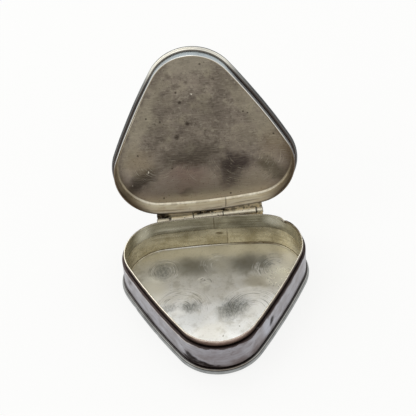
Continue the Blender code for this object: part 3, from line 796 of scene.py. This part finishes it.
def build_base():
    floor = floor_finish()
    plain = plain_finish("base_underside_silver", 0.34)
    sheet("base_floor_sheet", "base", 0.0, FLOOR_TOP, (floor, plain), ("base_plate",),
          seed=1.0)

    soot, brown = tone(34, 26, 24), tone(104, 92, 90)
    outside = strip_finish(
        "base_wall_outside", tone(158, 157, 163), tone(130, 125, 127), tone(80, 68, 64), 0.32,
        dirt=0.7, streaks=0.5, wander=0.45, local=gilt_traces,
        marks=((tone(176, 178, 188), (11.2, -12.4, 5.2), (1.7, 1.7, 2.6), 0.8),
               (brown, (8.7, -16.0, 4.6), (2.4, 2.2, 2.0), 0.6),
               (brown, (0.5, -20.0, 4.5), (7.0, 2.0, 3.5), 0.40),
               (brown, (9.5, -15.0, 2.6), (3.0, 3.0, 1.0), 0.8),
               (brown, (-20.3, 4.0, 6.5), (1.0, 1.2, 1.0), 0.5)),
        # Browner towards the bottom, and painted dark just above the wire: painted shade in the groove, with
        # grime.
        edges=((0.0, 3.05, 0.65, tone(98, 88, 86), 0.75), (0.0, 2.42, 0.12, tone(44, 32, 28), 0.95)),
        # The front left smudge, the front right one, and smaller ones along the left side.
        late=((soot, (-7.4, -17.6, 4.5), (1.2, 1.2, 0.8), 1.0),
              (soot, (-6.7, -18.2, 3.8), (1.4, 1.3, 0.6), 1.0),
              (soot, (-5.4, -19.0, 3.2), (1.7, 1.3, 0.7), 1.0),
              (soot, (-3.8, -19.7, 2.9), (2.0, 1.3, 0.7), 1.0),
              (soot, (-2.0, -20.2, 2.6), (2.0, 1.3, 0.45), 1.0),
              (soot, (-7.2, -17.8, 2.9), (2.8, 1.6, 0.6), 1.0),
              (soot, (12.4, -10.5, 5.8), (0.9, 0.9, 1.1), 0.95),
              (soot, (-20.6, 3.2, 6.9), (0.9, 0.9, 0.7), 0.9),
              (soot, (-20.2, 4.6, 5.6), (0.5, 0.6, 0.5), 0.6),
              (soot, (-16.5, -4.5, 3.0), (1.6, 2.0, 0.5), 0.6),
              (brown, (4.5, -19.6, 3.2), (2.6, 1.4, 0.8), 0.7),
              (brown, (7.6, -17.2, 3.4), (1.6, 1.4, 1.0), 0.6)))
    inside = strip_finish(
        "base_wall_inside", tone(216, 209, 188), tone(168, 158, 132), tone(128, 112, 84), 0.28,
        streaks=0.7, dirt=0.4,
        marks=((tone(112, 98, 66), (1.7, 20.05, 4.4), (0.9, 1.0, 0.5), 0.6),),
        lines=((tone(86, 70, 44), (3.5, 20.0, 2.8), (0.12, 1.0, 2.4), 0.55),
               (tone(74, 56, 32), (1.2, 20.05, 4.6), (0.5, 1.0, 0.14), 0.8),
               (tone(74, 56, 32), (2.0, 20.05, 4.3), (0.45, 1.0, 0.13), 0.7),
               (tone(226, 218, 196), (3.9, 20.0, 2.6), (0.2, 1.0, 2.4), 0.5)),
        edges=((0.62, 0.86, 0.06, tone(80, 64, 42), 0.75),))
    solder = strip_finish("floor_solder", tone(206, 198, 172), tone(160, 146, 112), tone(70, 54, 32), 0.36,
                          dirt=1.0, wander=0.6,
                          marks=((tone(240, 238, 228), (-7.0, 19.6, 0.5), (8.0, 1.0, 1.0), 0.8),
                                 (tone(84, 66, 42), (10.0, 19.0, 0.5), (7.0, 1.6, 1.0), 0.7)))
    inner, top = BASE_WALL_INNER, BASE_WALL_TOP
    profile = [(0.0, z, 0) for z in steps_between(WALL_FOOT, top - 0.10, 16)]
    profile += [(-0.03, top - 0.03, 0), (-0.10, top, 0), (inner, top, 1)]
    profile += [(inner, z, 1) for z in steps_between(top - 0.15, WALL_FOOT + SOLDER_FILLET, 14)]
    # The hollow slope of solder in the corner between the wall and the floor.
    profile += [(inner - 0.06, 0.64, 2), (inner - 0.15, 0.53, 2),
                (inner - SOLDER_FILLET, FLOOR_TOP + 0.01, 2)]
    swept_ring("base_side_strip", "base", profile, (outside, inside, solder), ("base_wall",),
               seed=2.0)

    # Outer face of the bezel: painted shadow with grime at its foot by the wall, painted lighter pink towards
    # the rim at the front as a painted reflection, and a painted highlight along the rim's edge.
    dark = strip_finish(
        "bezel_outside", tone(96, 78, 68), tone(58, 46, 38), tone(30, 22, 18), 0.36,
        dirt=0.6, wander=0.4,
        marks=((tone(118, 98, 88), (0.0, -20.0, 10.5), (10.0, 4.0, 1.3), 0.9),
               (tone(168, 147, 138), (1.0, -20.0, 10.6), (10.0, 4.0, 0.65), 0.95)),
        edges=((8.0, 9.15, 0.25, tone(38, 28, 23), 0.92), (10.34, 10.6, 0.03, tone(214, 208, 190), 0.8)))
    lit = strip_finish(
        "bezel_inside", tone(178, 173, 152), tone(128, 121, 101), tone(96, 84, 60), 0.25,
        streaks=0.8, dirt=0.4, metallic=0.8, local=tear_line,
        lines=((tone(80, 66, 42), (0.48, 19.7, 8.6), (0.12, 1.0, 2.2), 0.7),
               (tone(64, 40, 16), (17.3, 17.0, 9.75), (0.7, 0.7, 0.35), 1.0)),
        edges=((6.0, 6.42, 0.05, tone(78, 64, 42), 0.8),))
    rim = strip_finish("bezel_rim", tone(226, 220, 204), tone(206, 198, 176), tone(120, 100, 70), 0.26,
                       wander=0.4, marks=((tone(190, 168, 156), (1.0, -21.0, 10.4), (10.0, 5.0, 2.0), 0.9),
                                          (tone(78, 52, 24), (19.3, 14.8, 10.4), (2.8, 3.2, 1.0), 0.95)))
    outer, inner, top = BEZEL_OUTER, BEZEL_INNER, BEZEL_TOP
    profile = [(outer, z, 0) for z in steps_between(BEZEL_BOTTOM, top - 0.12, 10)]
    profile += [(outer - 0.035, top - 0.03, 2), (outer - 0.10, top, 2),
                (inner + 0.10, top, 2), (inner + 0.035, top - 0.03, 2)]
    profile += [(inner, z, 1) for z in steps_between(top - 0.12, BEZEL_BOTTOM + 0.06, 10)]
    profile += [(inner + 0.06, BEZEL_BOTTOM, 1)]
    # The dents are the notch in the rim.
    swept_ring("base_bezel_strip", "base", profile, (dark, lit, rim), ("base_bezel",),
               seed=2.0,
               dents=(((17.3, 17.1, 10.45), 0.55, (0, 0, -0.75)), ((18.1, 16.3, 10.45), 0.5, (0, 0, -0.25))))

    # The wire is painted dark along its top where it meets the wall, painted shade with grime, also along the
    # front, and a thin cream line on the small reed is a painted highlight.
    wire = strip_finish(
        "base_wire", tone(158, 160, 159), tone(124, 126, 126), tone(70, 62, 56), 0.28,
        streaks=0.05, ragged=False,
        marks=((tone(74, 60, 54), (0.0, -20.6, 2.0), (9.0, 3.0, 0.55), 0.9),),
        edges=((1.30, 1.50, 0.05, tone(50, 42, 36), 0.8), (1.70, 1.86, 0.05, tone(204, 197, 178), 0.35),
               (1.93, 2.3, 0.05, tone(40, 30, 26), 0.85), (0.0, 0.34, 0.14, tone(92, 94, 96), 0.7)))
    swept_ring("base_reeded_wire", "base", moulding_profile(), (wire,), ("base_moulding",),
               seed=2.0,
               dents=(((-14.9, -8.0, 0.9), 0.45, (0.22, 0.12, 0)), ((14.2, -9.6, 0.9), 0.4, (-0.2, 0.1, 0)),
                      ((6.4, -19.8, 0.9), 0.45, (-0.06, 0.22, 0)), ((-19.5, 1.0, 0.9), 0.8, (0.10, 0.04, 0))))


def build_lid():
    tarnished = lid_sheet_finish()
    plain = plain_finish("lid_top_silver", 0.26)
    sheet("lid_sheet", "lid", LID_TOP - SHEET, LID_TOP, (plain, tarnished), ("lid_plate",),
          seed=5.0)

    outside = strip_finish(
        "lid_wall_outside", tone(176, 186, 190), tone(156, 164, 167), tone(70, 66, 64), 0.26,
        local=lid_sides, ragged=False, edges=((11.42, 11.7, 0.04, tone(60, 48, 38), 0.8),))
    inside = strip_finish(
        "lid_wall_inside", tone(255, 249, 226), tone(232, 219, 188), tone(156, 128, 86), 0.40,
        dirt=0.45, streaks=0.8, metallic=0.56, local=lid_corners,
        marks=((tone(50, 37, 26), (-18.6, 15.6, 8.9), (5.0, 6.5, 1.1), 1.0),
               (tone(50, 37, 26), (19.0, 14.0, 8.9), (4.4, 7.0, 1.4), 1.0),
               (tone(92, 76, 54), (21.5, 11.0, 11.0), (3.0, 6.0, 3.0), 0.85),
               (tone(120, 100, 72), (-18.5, 16.5, 10.0), (4.0, 4.0, 1.2), 0.5),
               (tone(124, 98, 62), (9.2, 20.2, 10.4), (3.2, 1.0, 0.22), 0.7),
               (tone(138, 114, 76), (-10.5, 20.0, 9.9), (4.0, 1.4, 0.3), 0.6),
               (tone(112, 88, 56), (0.8, 20.4, 9.5), (3.4, 1.0, 0.25), 0.55)),
        lines=((tone(120, 100, 72), (3.8, 20.2, 11.2), (0.16, 1.0, 2.4), 0.7),),
        # A painted shadow along the inner lip of the rim.
        edges=((8.6, 9.02, 0.05, tone(100, 82, 60), 0.75),))
    inner = LID_INNER
    top = LID_TOP - SHEET - JOINT_GAP
    profile = [(inner, z, 1) for z in steps_between(top - LID_COVE, LID_RIM + 0.08, 10)]
    profile += [(inner + 0.06, LID_RIM + 0.01, 1), (-0.12, LID_RIM, 0), (-0.03, LID_RIM + 0.04, 0)]
    profile += [(0.0, z, 0) for z in steps_between(LID_RIM + 0.12, top, 10)]
    profile += [(inner - LID_COVE, top, 1)]
    for degrees in (75, 60, 45, 30, 15):
        angle = radians(degrees)
        profile.append((inner - LID_COVE * (1 - cos(angle)), top - LID_COVE * (1 - sin(angle)), 1))
    swept_ring("lid_side_strip", "lid", profile, (outside, inside), ("lid_wall",),
               seed=7.0)

    wire = strip_finish(
        "lid_wire", tone(250, 247, 234), tone(238, 233, 216), tone(150, 140, 120), 0.30,
        streaks=0.0, dirt=0.15, local=lid_wire_sides, ragged=False, metallic=0.55,
        edges=((LID_TOP - 1.46, LID_TOP - 1.32, 0.05, tone(100, 92, 82), 0.5),
               (LID_TOP - 2.3, LID_TOP - 1.93, 0.05, tone(60, 46, 36), 0.85),
               # Painted shade on the large reed towards its outline.
               (LID_TOP - 1.04, LID_TOP + 0.4, 0.10, tone(66, 72, 73), 1.0)))
    profile = [(offset, LID_TOP - height, finish) for offset, height, finish in moulding_profile()][::-1]
    swept_ring("lid_reeded_wire", "lid", profile, (wire,), ("lid_moulding",), seed=7.0,
               dents=(((6.2, -20.0, 12.6), 0.45, (-0.08, 0.25, 0)),))


def build_hinge():
    ivory = tone(255, 246, 220)
    barrels = {"base": knuckle_finish("base_knuckle_bright", ivory),
               "lid": knuckle_finish("lid_knuckle_bright", ivory)}
    names = ("base_knuckle_left", "lid_knuckle_left", "base_knuckle_centre", "lid_knuckle_right",
             "base_knuckle_right")
    for index, name in enumerate(names):
        start = KNUCKLE_ENDS[index] + (KNUCKLE_HALF_GAP if index > 0 else 0.0)
        end = KNUCKLE_ENDS[index + 1] - (KNUCKLE_HALF_GAP if index < len(names) - 1 else 0.0)
        body = name.split("_")[0]
        knuckle(name + "_tube", body, start, end, (barrels[body],), (name,),
                seed=3.0 * index)
    # The bearers and the pin keep their CAD meshes.
    bearer = bearer_finish()
    pin = strip_finish("pin_silver", tone(170, 160, 140), tone(130, 118, 96), tone(60, 50, 40), 0.36)
    for name, material in (("base_hinge_bearer", bearer), ("lid_hinge_bearer", bearer), ("hinge_pin", pin)):
        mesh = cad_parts[name].data
        mesh.materials.clear()
        mesh.materials.append(material)


# ---------------------------------------------------------------- setting

def build_setting():
    material = bpy.data.materials.new("pale_floor")
    material.use_nodes = True
    shader = material.node_tree.nodes["Principled BSDF"]
    shader.inputs["Base Color"].default_value = (0.15, 0.15, 0.149, 1.0)
    shader.inputs["Roughness"].default_value = 0.9
    shader.inputs["Specular IOR Level"].default_value = 0.0
    shader.inputs["Emission Color"].default_value = (1.0, 1.0, 0.99, 1.0)
    shader.inputs["Emission Strength"].default_value = 0.835
    mesh = bpy.data.meshes.new("pale_floor")
    # Just below the box, so that the two never share a plane.
    half, low = 2.0, -0.02 * MM
    mesh.from_pydata([(-half, -half, low), (half, -half, low), (half, half, low), (-half, half, low)],
                     [], [(0, 1, 2, 3)])
    mesh.materials.append(material)
    floor = bpy.data.objects.new("pale_floor", mesh)
    bpy.context.scene.collection.objects.link(floor)

    world = bpy.data.worlds.new("soft_studio")
    bpy.context.scene.world = world
    world.use_nodes = True
    background = world.node_tree.nodes["Background"]
    background.inputs["Strength"].default_value = 1.0
    nodes, links = world.node_tree.nodes, world.node_tree.links
    coords, parts = nodes.new("ShaderNodeTexCoord"), nodes.new("ShaderNodeSeparateXYZ")
    fade = nodes.new("ShaderNodeValToRGB")
    links.new(coords.outputs["Generated"], parts.inputs[0])
    links.new(parts.outputs["Z"], fade.inputs[0])
    links.new(fade.outputs[0], background.inputs["Color"])
    # Brightest at the horizon, darkest overhead.
    fade.color_ramp.elements[0].color = (0.96, 0.96, 0.955, 1.0)
    fade.color_ramp.elements[1].color = (0.45, 0.45, 0.46, 1.0)
    for place, level in ((0.25, 0.86), (0.75, 0.84)):
        fade.color_ramp.elements.new(place).color = (level, level, level, 1.0)

    for name, place, size, power in (("softbox_back", (-0.15, 0.45, 0.55), 0.5, 1.1),
                                     ("softbox_left", (-0.55, -0.10, 0.45), 0.4, 0.5)):
        data = bpy.data.lights.new(name, "AREA")
        data.shape = "SQUARE"
        data.size = size
        data.energy = power
        lamp = bpy.data.objects.new(name, data)
        lamp.location = place
        lamp.rotation_euler = (-Vector(place)).to_track_quat("-Z", "Y").to_euler()
        bpy.context.scene.collection.objects.link(lamp)


def build_camera():
    """A long lens looking down from the front, rolled a few degrees."""
    flat, rise = cos(CAMERA_ELEVATION), sin(CAMERA_ELEVATION)
    right = Vector((cos(CAMERA_HEADING), sin(CAMERA_HEADING), 0.0))
    towards = Vector((sin(CAMERA_HEADING) * flat, -cos(CAMERA_HEADING) * flat, rise))
    above = towards.cross(right)
    across = right * cos(CAMERA_ROLL) - above * sin(CAMERA_ROLL)
    upward = right * sin(CAMERA_ROLL) + above * cos(CAMERA_ROLL)
    target = Vector((0.0, 0.0, TARGET_HEIGHT)) + across * TARGET_ACROSS + upward * TARGET_UPWARD
    data = bpy.data.cameras.new("camera")
    data.sensor_width = 36.0
    data.lens = CAMERA_LENS
    data.clip_start, data.clip_end = 0.01, 20.0
    camera = bpy.data.objects.new("camera", data)
    bpy.context.scene.collection.objects.link(camera)
    turn = Matrix((across, upward, towards)).transposed().to_4x4()
    camera.matrix_world = Matrix.Translation((target + towards * CAMERA_DISTANCE) * MM) @ turn
    bpy.context.scene.camera = camera
    bpy.context.scene.view_settings.view_transform = "Standard"


build_base()
build_lid()
build_hinge()
build_setting()
build_camera()
